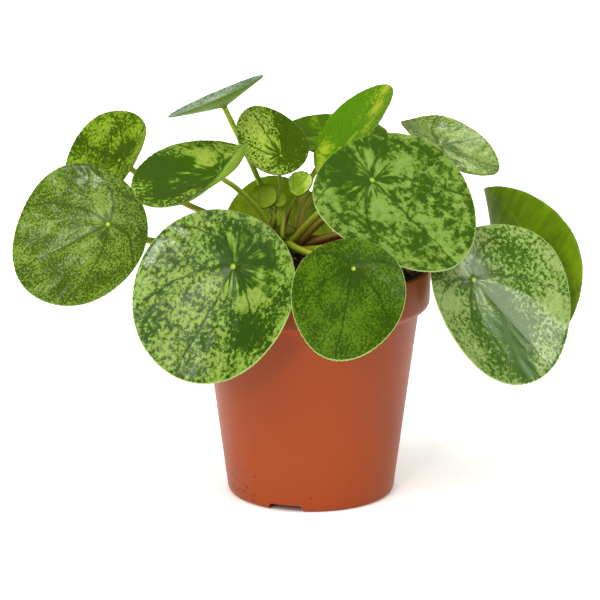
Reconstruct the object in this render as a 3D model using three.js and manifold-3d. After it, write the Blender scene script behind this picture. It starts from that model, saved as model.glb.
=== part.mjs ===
// A pilea with mottled round leaves, growing in a plastic nursery pot.
// Millimetres, +Z up. The origin is the middle of the pot's underside, on the surface that it stands on.
// A direction round the plant is an angle in degrees from the front (-Y), positive towards +X.

import * as THREE from "three";
import { mergeVertices } from "three/addons/utils/BufferGeometryUtils.js";
import Module from "manifold-3d";

const wasm = await Module();
wasm.setup();

// Driving dimensions of the pot
const RIM_RADIUS = 60;
const POT_HEIGHT = 117;
const FOOT_RADIUS = 42;
const SHOULDER_RADIUS = 54;
const BAND_HEIGHT = 22;
const BAND_TAPER = 0.7;
const WALL = 1.6;
const FLOOR_RISE = 3.5;
const FLOOR_THICK = 1.8;
const FOOT_WIDTH = 5;
const CENTRE_PAD_RADIUS = 10;
const NOTCH_WIDTH = 17.5;
const NOTCH_HEIGHT = 3.4;
const NOTCH_ANGLES = [-18, 102, 222];
const DRAIN_RADIUS = 4;
const DRAIN_RING_RADIUS = 24;
const DRAIN_COUNT = 6;
const DRAIN_SIDES = 12;
const POT_SIDES = 60;

// Driving dimensions of the soil and of the short stem
const SOIL_LEVEL = 113;
const SOIL_LUMP = 1.1;
const SOIL_SIDES = 40;
const SOIL_RINGS = [54, 49, 43, 37, 31, 25, 19, 13, 7];
const STEM_X = -13;
const STEM_Y = 30;
const STEM_FOOT = 98;
const STEM_TOP = 129.5;
const STEM_RADIUS = 5.8;
const STEM_SIDES = 24;

// What all leaves share
const GAP = 0.3;
const BLADE_THICK = 0.8;
const LEAF_SIDES = 32;
const LEAF_RINGS = [0.4, 0.72, 1];
const STALK_SIDES = 8;
const STALK_STEPS = 12;
const STALK_STRAIGHT = 2.5;
const CUP_REACH = 35;

// A leaf shorter than this is a young one, with a coarser grid.
const YOUNG_LONG = 20;
const YOUNG_SIDES = 20;
const YOUNG_RINGS = [0.55, 1];

// Each leaf: hub is the point on the top face above its stalk, face the direction that the top looks in
// and its rise over the horizon, turn the angle of the tip from straight downhill, long and wide the blade,
// set the share of its length by which the middle lies past the hub, and egg how much broader the hub end
// is. Cone is how far the margin rises straight from the hub, cup the rise along and across at CUP_REACH
// from it, wave the height and place of three slow waves in the margin, and curls the places, widths and
// heights where the margin turns up.
// Its stalk leaves the stem at an angle and a height, passes the points in via, and tapers.
const LEAVES = [
  { name: "left", colour: "#7fa24a", hub: [-101, 0, 137], face: [-20, 33], turn: -57, long: 73, wide: 74,
    set: 0.23, egg: 0.09, cone: 0, cup: [-1.5, 5.5], wave: [1.5, 30], curls: [],
    stalk: { from: [-75, 115], via: [[-41, 19, 129], [-61, 12, 132], [-78, 5, 127]], thick: [2.0, 1.6] } },
  { name: "left_back", colour: "#7da544", hub: [-97, 35, 162], face: [-53, 39], turn: -93, long: 53, wide: 51,
    set: 0.22, egg: 0.04, cone: 0, cup: [4, 2], wave: [-1, 40], curls: [],
    stalk: { from: [-118, 118.5], via: [[-36, 35, 129], [-53, 37, 134], [-75, 37, 145]],
      thick: [1.7, 1.5] } },
  { name: "high_left", colour: "#7f9a74", hub: [-44, 44, 188], face: [-101, 66], turn: 87, long: 53, wide: 52,
    set: 0.12, egg: 0.03, cone: 6, cup: [2, 2], wave: [0, 0], curls: [],
    stalk: { from: [-140, 122.5], via: [[-20, 37, 135], [-30, 42, 158]], thick: [1.5, 1.4] } },
  { name: "upper_left", colour: "#5c8a35", hub: [-44.3, -12, 165.6], face: [-65, 66.5], turn: -65, long: 63,
    wide: 61, set: 0.25, egg: -0.23, cone: 0, cup: [5.3, -2.2], wave: [0, 0], curls: [[190, 83, 11.4]],
    stalk: { from: [-48, 119.5], via: [[-25, 17, 138], [-36, 2, 154]], thick: [1.7, 1.25] } },
  { name: "front_left", colour: "#5f9436", hub: [-38, -46, 127], face: [-26, 23], turn: -18, long: 86,
    wide: 86, set: 0.2, egg: 0.05, cone: 0, cup: [1.8, 5.2], wave: [-1.1, 80], curls: [],
    stalk: { from: [-15, 115], via: [[-19, 5, 121.5]], thick: [2.0, 1.7] } },
  { name: "inner_top", colour: "#8fae52", hub: [-15, 34, 164.5], face: [32, 43], turn: 195, long: 40.5,
    wide: 39.5, set: 0.24, egg: 0.13, cone: 0, cup: [2.4, 3.3], wave: [-0.4, 150], curls: [],
    stalk: { from: [-10, 124], via: [[-14, 29.5, 135.5], [-15.3, 34, 148]], thick: [1.1, 0.95] } },
  { name: "back", colour: "#4f7d22", hub: [13, 80, 162.5], face: [10, 80], turn: 180, long: 56, wide: 56,
    set: 0.04, egg: 0.03, cone: 1, cup: [3, 3], wave: [0, 0], curls: [[100, 60, 5]],
    stalk: { from: [150, 121.5], via: [[-4, 46, 141], [3, 62, 151]], thick: [1.5, 1.3] } },
  { name: "top", colour: "#79a92c", hub: [16, 36, 168], face: [-71, 38], turn: 188, long: 58, wide: 57,
    set: 0.19, egg: 0.04, cone: 0, cup: [-1.3, 5.6], wave: [0, 0], curls: [],
    stalk: { from: [96, 124.5], via: [[-3, 31, 138], [5, 34, 150]], thick: [1.4, 1.25] } },
  { name: "front_right", colour: "#588a38", hub: [30, -15, 163], face: [22, 48], turn: 27, long: 84, wide: 81,
    set: 0.23, egg: 0.2, cone: 0, cup: [0.5, 2.8], wave: [0.9, 138], curls: [],
    stalk: { from: [42, 122], via: [[2, 15, 137], [15, 2, 150]], thick: [1.9, 1.7] } },
  { name: "right_high", colour: "#86a75a", hub: [65, 30, 171], face: [71, 63], turn: 72, long: 57, wide: 55,
    set: 0.2, egg: 0.04, cone: 0, cup: [2.1, -3.5], wave: [-1.2, -103], curls: [[60, 45, 3]],
    stalk: { from: [80, 119], via: [[8, 32, 133], [38, 34, 153]], thick: [1.8, 1.5] } },
  { name: "right_back", colour: "#4f7f14", hub: [110, 25, 118.3], face: [132.3, 12.6], turn: 37, long: 86.5,
    wide: 82, set: 0.16, egg: 0.11, cone: 0, cup: [6.4, -1.3], wave: [-1.9, 96], curls: [[64, 69.5, 25.3]],
    stalk: { from: [104, 115.4], via: [[12, 31, 124], [45, 29, 132], [80, 27, 128]], thick: [1.9, 1.6] } },
  { name: "right", colour: "#6f9c55", hub: [80, -25, 115], face: [35, 29], turn: 30, long: 82, wide: 82,
    set: 0.22, egg: 0.01, cone: 0, cup: [0, 8], wave: [-1.5, 159], curls: [],
    stalk: { from: [54, 114.8], via: [[5, 10, 122], [20, 0, 128], [45, -10, 129], [64, -17, 121]],
      thick: [2.0, 1.7] } },
  { name: "front", colour: "#467312", hub: [20, -70, 132], face: [-9, 26], turn: -7, long: 60.5, wide: 54.5,
    set: 0.26, egg: 0.12, cone: 0, cup: [2, 2], wave: [1.5, 68], curls: [],
    stalk: { from: [16, 119], via: [[-6, 0, 124], [8, -38, 128]], thick: [1.8, 1.5] } },
  { name: "behind", colour: "#5f9a14", hub: [-19, 67, 130], face: [175, 15], turn: -10, long: 59.5, wide: 56,
    set: 0.21, egg: 0, cone: 0, cup: [1.8, -1.3], wave: [-2, 10], curls: [],
    stalk: { from: [186, 115.5], via: [[-15, 50, 127]], thick: [1.7, 1.5] } },
  { name: "young_left", colour: "#7f9d2c", hub: [-24.4, 24, 144.4], face: [-10, 40], turn: 165, long: 14,
    wide: 14, set: 0.12, egg: 0.03, cone: 0, cup: [4, 4], wave: [0, 0], curls: [],
    stalk: { from: [-60, 126], via: [[-18.5, 26, 136]], thick: [0.9, 0.8] } },
  { name: "young_right", colour: "#7c9a2a", hub: [-16.6, 27, 143.3], face: [20, 40], turn: 190, long: 11.5,
    wide: 10, set: 0.12, egg: 0.03, cone: 0, cup: [4, 4], wave: [0, 0], curls: [],
    stalk: { from: [-105, 127], via: [[-18, 28.5, 135.5]], thick: [0.8, 0.7] } },
  { name: "bud", colour: "#a3b64f", hub: [-7.2, 27.5, 148], face: [-15, 30], turn: 150, long: 13.5, wide: 12,
    set: 0.3, egg: 0.03, cone: 0, cup: [0, 110], wave: [0, 0], curls: [],
    stalk: { from: [175, 127], via: [[-10, 33.5, 138]], thick: [0.8, 0.7] } },
];

const degrees = THREE.MathUtils.degToRad;

function round(angle, radius, height) {
  const a = degrees(angle);
  return new THREE.Vector3(radius * Math.sin(a), -radius * Math.cos(a), height);
}

function named(name, geometry, look) {
  const mesh = new THREE.Mesh(geometry, new THREE.MeshStandardMaterial(look));
  mesh.name = name;
  return mesh;
}

function welded(geometry) {
  const bare = geometry.clone();
  bare.deleteAttribute("normal");
  bare.deleteAttribute("uv");
  return mergeVertices(bare, 1e-4);
}

function toSolid(geometry) {
  const clean = welded(geometry);
  const vertProperties = new Float32Array(clean.attributes.position.array);
  const triVerts = new Uint32Array(clean.index.array);
  return new wasm.Manifold(new wasm.Mesh({ numProp: 3, vertProperties, triVerts }));
}

function toGeometry(solid) {
  const mesh = solid.getMesh();
  const geometry = new THREE.BufferGeometry();
  geometry.setAttribute("position", new THREE.BufferAttribute(new Float32Array(mesh.vertProperties), 3));
  geometry.setIndex(new THREE.BufferAttribute(new Uint32Array(mesh.triVerts), 1));
  geometry.computeVertexNormals();
  return geometry;
}

// A lathe turns a profile round Y, and the pot stands along Z.
function turned(profile, sides) {
  const points = profile.map(([radius, height]) => new THREE.Vector2(radius, height));
  return new THREE.LatheGeometry(points, sides).rotateX(Math.PI / 2);
}

function upright(radius, height, sides) {
  return new THREE.CylinderGeometry(radius, radius, height, sides).rotateX(Math.PI / 2);
}

// Inside of the pot, from the floor up to the rim
function insideProfile(clear) {
  const ledge = POT_HEIGHT - BAND_HEIGHT;
  return [
    [FOOT_RADIUS - WALL - clear, FLOOR_RISE + FLOOR_THICK + clear],
    [SHOULDER_RADIUS - WALL - clear, ledge - 0.5 + clear],
    [RIM_RADIUS - BAND_TAPER - WALL - clear, ledge + 2.5 + clear],
  ];
}

function makePot() {
  const ledge = POT_HEIGHT - BAND_HEIGHT;
  const bandFoot = RIM_RADIUS - BAND_TAPER;
  const profile = [
    [0, 0],
    [CENTRE_PAD_RADIUS, 0],
    [CENTRE_PAD_RADIUS + 0.8, FLOOR_RISE],
    [FOOT_RADIUS - FOOT_WIDTH - 2.4, FLOOR_RISE],
    [FOOT_RADIUS - FOOT_WIDTH - 1.6, 0],
    [FOOT_RADIUS - 2.2, 0],
    [FOOT_RADIUS - 0.8, 0.6],
    [FOOT_RADIUS, 2.2],
    [SHOULDER_RADIUS, ledge - 0.8],
    [SHOULDER_RADIUS + 0.8, ledge + 0.2],
    [bandFoot - 3, ledge + 0.7],
    [bandFoot - 1, ledge + 1.5],
    [bandFoot, ledge + 3.4],
    [RIM_RADIUS, POT_HEIGHT - 0.8],
    [RIM_RADIUS - 0.3, POT_HEIGHT],
    [RIM_RADIUS - WALL + 0.3, POT_HEIGHT],
    [RIM_RADIUS - WALL, POT_HEIGHT - 0.6],
    ...insideProfile(0).reverse(),
    [0, FLOOR_RISE + FLOOR_THICK],
  ];
  let pot = toSolid(turned(profile, POT_SIDES));

  // Each drain notch is a slot with rounded upper corners, cut in through the foot ring.
  const half = NOTCH_WIDTH / 2;
  const corner = 2;
  const slot = new THREE.Shape();
  slot.moveTo(-half, -2);
  slot.lineTo(half, -2);
  slot.lineTo(half, NOTCH_HEIGHT - corner);
  slot.quadraticCurveTo(half, NOTCH_HEIGHT, half - corner, NOTCH_HEIGHT);
  slot.lineTo(corner - half, NOTCH_HEIGHT);
  slot.quadraticCurveTo(-half, NOTCH_HEIGHT, -half, NOTCH_HEIGHT - corner);
  const depth = FOOT_WIDTH + 8;
  for (const angle of NOTCH_ANGLES) {
    const cutter = new THREE.ExtrudeGeometry(slot, { depth, bevelEnabled: false, curveSegments: 3 });
    cutter.rotateX(Math.PI / 2);
    cutter.translate(0, depth - FOOT_RADIUS - 2, 0);
    cutter.rotateZ(degrees(angle));
    pot = pot.subtract(toSolid(cutter));
  }

  // Drain holes through the raised floor
  for (let i = 0; i < DRAIN_COUNT; i += 1) {
    const place = round((i * 360) / DRAIN_COUNT + 30, DRAIN_RING_RADIUS, FLOOR_RISE + FLOOR_THICK / 2);
    const drill = upright(DRAIN_RADIUS, FLOOR_THICK + 2, DRAIN_SIDES).translate(place.x, place.y, place.z);
    pot = pot.subtract(toSolid(drill));
  }
  return named("pot", toGeometry(pot), { color: "#b8613a", roughness: 0.42, metalness: 0 });
}

// Lumps of peat and bark: sums of waves that run in different directions, so the surface never repeats.
function soilRelief(x, y) {
  const broad = Math.sin(x * 0.21 + 1.3) * Math.cos(y * 0.17 - 0.4);
  const middle = Math.sin(x * 0.53 - y * 0.31 + 2.1) * Math.cos(y * 0.61 + x * 0.19);
  const small = Math.sin(x * 1.13 + y * 0.7) * Math.sin(y * 1.31 - x * 0.47 + 0.8);
  return SOIL_LUMP * (0.5 * broad + 0.6 * middle + 0.5 * small);
}

function makeSoil() {
  const inside = insideProfile(GAP);
  const edge = RIM_RADIUS - WALL - GAP - 0.6;
  const profile = [
    [0, inside[0][1]],
    ...inside,
    [edge, SOIL_LEVEL],
    ...SOIL_RINGS.map((radius) => [radius, SOIL_LEVEL]),
    [0, SOIL_LEVEL],
  ];
  const ground = turned(profile, SOIL_SIDES);
  const place = ground.attributes.position;
  for (let i = 0; i < place.count; i += 1) {
    const radius = Math.hypot(place.getX(i), place.getY(i));
    if (place.getZ(i) > SOIL_LEVEL - 0.01 && radius < edge - 0.01) {
      place.setZ(i, SOIL_LEVEL + soilRelief(place.getX(i), place.getY(i)));
    }
  }
  // The stem stands in a plain round hole.
  const depth = SOIL_LEVEL + 20 - STEM_FOOT;
  const hole = upright(STEM_RADIUS + 2 * GAP, depth, STEM_SIDES);
  hole.translate(STEM_X, STEM_Y, STEM_FOOT - GAP + depth / 2);
  const solid = toSolid(ground).subtract(toSolid(hole));
  return named("soil", toGeometry(solid), { color: "#3a2b22", roughness: 0.95, metalness: 0 });
}

// The leaf's own frame: towards the tip, across the blade, and out of its top face
function leafFrame(leaf) {
  const [angle, rise] = leaf.face.map(degrees);
  const out = new THREE.Vector3(
    Math.sin(angle) * Math.cos(rise),
    -Math.cos(angle) * Math.cos(rise),
    Math.sin(rise),
  );
  const downhill = new THREE.Vector3(
    Math.sin(angle) * Math.sin(rise),
    -Math.cos(angle) * Math.sin(rise),
    -Math.cos(rise),
  );
  const side = new THREE.Vector3().crossVectors(out, downhill);
  const turn = degrees(leaf.turn);
  const along = downhill.multiplyScalar(Math.cos(turn)).addScaledVector(side, Math.sin(turn));
  const across = new THREE.Vector3().crossVectors(out, along);
  return { along, across, out };
}

// A point of the top face, in the leaf's own frame: share runs from 0 at the hub to 1 at the margin, and
// angle goes round from the tip.
function bladePoint(leaf, share, angle) {
  const x = share * leaf.long * (leaf.set + Math.cos(angle) / 2);
  const y = share * (leaf.wide / 2) * Math.sin(angle) * (1 - leaf.egg * Math.cos(angle));
  const [cupAlong, cupAcross] = leaf.cup;
  let z = leaf.cone * share + cupAlong * (x / CUP_REACH) ** 2 + cupAcross * (y / CUP_REACH) ** 2;
  const [waveHeight, wavePlace] = leaf.wave;
  z += waveHeight * share ** 2 * Math.cos(3 * angle - degrees(wavePlace));
  for (const [place, width, height] of leaf.curls) {
    const away = (((THREE.MathUtils.radToDeg(angle) - place + 540) % 360) + 360) % 360 - 180;
    if (Math.abs(away) < width) {
      z += height * share ** 4 * Math.cos((away / width) * (Math.PI / 2)) ** 2;
    }
  }
  return new THREE.Vector3(x, y, z);
}

function bladeNormal(leaf, share, angle) {
  const step = 0.01;
  const middle = bladePoint(leaf, share, angle);
  const outward = bladePoint(leaf, share + step, angle).sub(middle);
  const around = bladePoint(leaf, share, angle + step).sub(middle);
  return outward.cross(around).normalize();
}

// A blade is one grid of triangles on its top face, the same grid a thickness below, and a strip round the
// margin.
function makeBlade(leaf) {
  const young = leaf.long < YOUNG_LONG;
  const sides = young ? YOUNG_SIDES : LEAF_SIDES;
  const rings = young ? YOUNG_RINGS : LEAF_RINGS;
  const { along, across, out } = leafFrame(leaf);
  const hub = new THREE.Vector3(...leaf.hub);
  const place = [];
  const put = (point) => {
    const world = hub.clone();
    world.addScaledVector(along, point.x);
    world.addScaledVector(across, point.y);
    world.addScaledVector(out, point.z);
    place.push(world.x, world.y, world.z);
  };
  for (const depth of [0, BLADE_THICK]) {
    put(new THREE.Vector3(0, 0, -depth));
    for (const share of rings) {
      for (let i = 0; i < sides; i += 1) {
        const angle = (i * 2 * Math.PI) / sides;
        put(bladePoint(leaf, share, angle).addScaledVector(bladeNormal(leaf, share, angle), -depth));
      }
    }
  }
  const faceSize = 1 + rings.length * sides;
  const faces = [];
  const vertex = (ring, i) => (ring < 0 ? 0 : 1 + ring * sides + (i % sides));
  for (let ring = 0; ring < rings.length; ring += 1) {
    for (let i = 0; i < sides; i += 1) {
      const a = vertex(ring - 1, i);
      const b = vertex(ring, i);
      const c = vertex(ring, i + 1);
      const d = vertex(ring - 1, i + 1);
      const grid = ring === 0 ? [[a, b, c]] : [[a, b, c], [a, c, d]];
      for (const [p, q, r] of grid) {
        faces.push(p, q, r);
        faces.push(p + faceSize, r + faceSize, q + faceSize);
      }
    }
  }
  const margin = rings.length - 1;
  for (let i = 0; i < sides; i += 1) {
    const b = vertex(margin, i);
    const c = vertex(margin, i + 1);
    faces.push(b, b + faceSize, c + faceSize, b, c + faceSize, c);
  }
  const geometry = new THREE.BufferGeometry();
  geometry.setAttribute("position", new THREE.Float32BufferAttribute(place, 3));
  geometry.setIndex(faces);
  geometry.computeVertexNormals();
  return named(`leaf_${leaf.name}`, geometry, { color: leaf.colour, roughness: 0.38, metalness: 0 });
}

// A stalk leaves the stem sideways and upwards, and meets the blade square on, just under the hub.
function stalkCurve(leaf) {
  const { out } = leafFrame(leaf);
  const [angle, height] = leaf.stalk.from;
  const axis = new THREE.Vector3(STEM_X, STEM_Y, 0);
  const hub = new THREE.Vector3(...leaf.hub);
  const end = hub.clone().addScaledVector(out, -BLADE_THICK - GAP);
  const points = [
    round(angle, STEM_RADIUS - 0.9, height).add(axis),
    round(angle, STEM_RADIUS + 2.2, height + 2.2).add(axis),
    ...leaf.stalk.via.map((point) => new THREE.Vector3(...point)),
    end.clone().addScaledVector(out, -STALK_STRAIGHT),
    end,
  ];
  return new THREE.CatmullRomCurve3(points, false, "catmullrom", 0.5);
}

function bentStalk(leaf, extra) {
  const curve = stalkCurve(leaf);
  const frames = curve.computeFrenetFrames(STALK_STEPS, false);
  const [foot, tip] = leaf.stalk.thick;
  const rod = new THREE.CylinderGeometry(tip + extra, foot + extra, 1, STALK_SIDES, STALK_STEPS);
  const place = rod.attributes.position;
  for (let i = 0; i < place.count; i += 1) {
    const share = place.getY(i) + 0.5;
    const step = Math.round(share * STALK_STEPS);
    const point = curve.getPointAt(share);
    if (step === 0) {
      point.addScaledVector(frames.tangents[0], -extra);
    }
    point.addScaledVector(frames.binormals[step], place.getX(i));
    point.addScaledVector(frames.normals[step], place.getZ(i));
    place.setXYZ(i, point.x, point.y, point.z);
  }
  return rod;
}

function makeStalk(leaf) {
  const look = { color: "#8f9a3c", roughness: 0.5, metalness: 0 };
  return named(`stalk_${leaf.name}`, welded(bentStalk(leaf, 0)), look);
}

// The stem is short and knobbly, and every stalk sits in its own socket in it.
function makeStem() {
  const bulge = (height) => 0.35 * Math.sin(height * 1.1);
  const profile = [[0, STEM_FOOT], [STEM_RADIUS - 1.5, STEM_FOOT]];
  for (let height = SOIL_LEVEL - 3; height < STEM_TOP - 3; height += 2) {
    profile.push([STEM_RADIUS + bulge(height), height]);
  }
  profile.push([STEM_RADIUS - 1, STEM_TOP - 1.6], [STEM_RADIUS - 2.8, STEM_TOP - 0.4], [0, STEM_TOP]);
  let stem = toSolid(turned(profile, STEM_SIDES).translate(STEM_X, STEM_Y, 0));
  for (const leaf of LEAVES) {
    stem = stem.subtract(toSolid(bentStalk(leaf, GAP)));
  }
  return named("stem", toGeometry(stem), { color: "#5d6b2a", roughness: 0.7, metalness: 0 });
}

const plant = new THREE.Group();
plant.name = "potted_pilea";
plant.add(makePot());
plant.add(makeSoil());
plant.add(makeStem());
for (const leaf of LEAVES) {
  plant.add(makeStalk(leaf));
  plant.add(makeBlade(leaf));
}

export default plant;
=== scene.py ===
# The looks of a pilea with mottled round leaves in a plastic nursery pot.
# Shapes are given in millimetres, as in the part's source, and become metres where a mesh is made.

import math
import random

import bpy
import numpy as np
from mathutils import Matrix, Vector


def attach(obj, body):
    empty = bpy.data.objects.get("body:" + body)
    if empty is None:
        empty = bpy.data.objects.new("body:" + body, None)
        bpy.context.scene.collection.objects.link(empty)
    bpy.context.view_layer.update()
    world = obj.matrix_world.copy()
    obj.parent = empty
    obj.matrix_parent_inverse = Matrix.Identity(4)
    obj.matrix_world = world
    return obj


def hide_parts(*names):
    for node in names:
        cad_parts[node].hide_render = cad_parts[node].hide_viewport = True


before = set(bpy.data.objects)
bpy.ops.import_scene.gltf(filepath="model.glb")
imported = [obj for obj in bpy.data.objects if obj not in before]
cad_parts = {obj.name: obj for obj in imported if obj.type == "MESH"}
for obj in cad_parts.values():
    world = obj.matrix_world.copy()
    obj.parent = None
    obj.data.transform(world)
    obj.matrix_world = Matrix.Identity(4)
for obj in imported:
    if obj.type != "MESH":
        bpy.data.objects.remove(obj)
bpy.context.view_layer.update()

MM = 0.001

# The camera stands in front of the plant, a little above it, and looks down at it by so many degrees.
CAMERA_AIM = Vector((-5.5, 0, 98)) * MM
CAMERA_AWAY = 1.6
CAMERA_DOWN = 14.8
CAMERA_LENS = 192

# Studio. A display gamma below 1 deepens the tones. The floor gives off a little light of its own, but not
# where the pot stands. These two radii are in metres.
WORLD_LIGHT = 0.2
DISPLAY_GAMMA = 0.85
FLOOR_HALF = 6000
FLOOR_GLOW = 0.42
DARK_RADIUS = 0.036
GLOW_RADIUS = 0.046

# Lights stand far off, turned from the front to the right and raised by so many degrees. spread is how many
# degrees wide they look. One that isn't glossy lights surfaces but doesn't shine in them, as through a
# polariser.
LIGHTS = [
    dict(name="key", turn=-45, rise=50, spread=60, power=1.6, glossy=False),
    dict(name="top", turn=0, rise=85, spread=70, power=1.6, glossy=False),
    dict(name="window", turn=-21, rise=22, spread=13, power=0.8, glossy=True),
    dict(name="door", turn=-50, rise=37, spread=16, power=0.35, glossy=True),
    dict(name="side", turn=72, rise=33, spread=26, power=0.8, glossy=True),
    dict(name="back", turn=152, rise=34, spread=14, power=0.12, glossy=True),
]

# Pot, in the sizes of the part's source
RIM_RADIUS = 60
POT_HEIGHT = 117
FOOT_RADIUS = 42
SHOULDER_RADIUS = 54
BAND_HEIGHT = 22
BAND_TAPER = 0.7
BAND_FOOT = POT_HEIGHT - BAND_HEIGHT
WALL = 1.6
FLOOR_RISE = 3.5
FLOOR_THICK = 1.8
FLOOR_TOP = FLOOR_RISE + FLOOR_THICK
FOOT_WIDTH = 5
CENTRE_PAD_RADIUS = 10
NOTCH_WIDTH = 17.5
NOTCH_HEIGHT = 3.4
NOTCH_CORNER = 2
NOTCH_ANGLES = (-18, 102, 222)
DRAIN_RADIUS = 4
DRAIN_RING_RADIUS = 24
DRAIN_COUNT = 6
DRAIN_START = 30
DRAIN_SIDES = 24
POT_SIDES = 240
POT_ROUNDING = 1.2
SHARP_ANGLE = 40

# Soil, with the bark chips that lie in it, and stem
SOIL_LEVEL = 113
SOIL_LUMP = 1.1
SOIL_SIDES = 180
SOIL_STEP = 1.2
CHIPS = 900
LARGE_CHIPS = 330
CHIP_SEED = 41
CHIP_CORNERS = ((-1, -0.6), (-0.3, -1), (0.9, -0.7), (1, 0.5), (0.2, 1), (-0.9, 0.8))
STEM_X = -13
STEM_Y = 30
STEM_FOOT = 98
STEM_TOP = 129.5
STEM_CAP = 3
STEM_RADIUS = 5.8
STEM_SIDES = 60

# Leaves and stalks. A margin's rows are a share of the blade's reach and of its thickness.
GAP = 0.3
BLADE_THICK = 0.8
EDGE_ROUNDING = 0.35
MARGIN_ROWS = ((1.0, 0.3), (1.0, 0.7))
NORMAL_STEP = 0.004
CUP_REACH = 35
USUAL_LONG = 70
HOLLOW_DEPTH = 0.4
PUFF_PERIODS = (9, 11, 13, 16, 19, 23)
TOOTH_PITCH = 3.1
TOOTH_DEPTH = 0.34
LEAF_SIDES = 288
LEAF_RINGS = 26
YOUNG_LONG = 20
VEINS = 5
VEIN_BEND = 0.85
STALK_STRAIGHT = 2.5
STALK_SINK = 0.9
STALK_CLIMB = 2.2
STALK_STEPS = 90
STALK_SIDES = 20
CURVE_STEPS = 40

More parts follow.
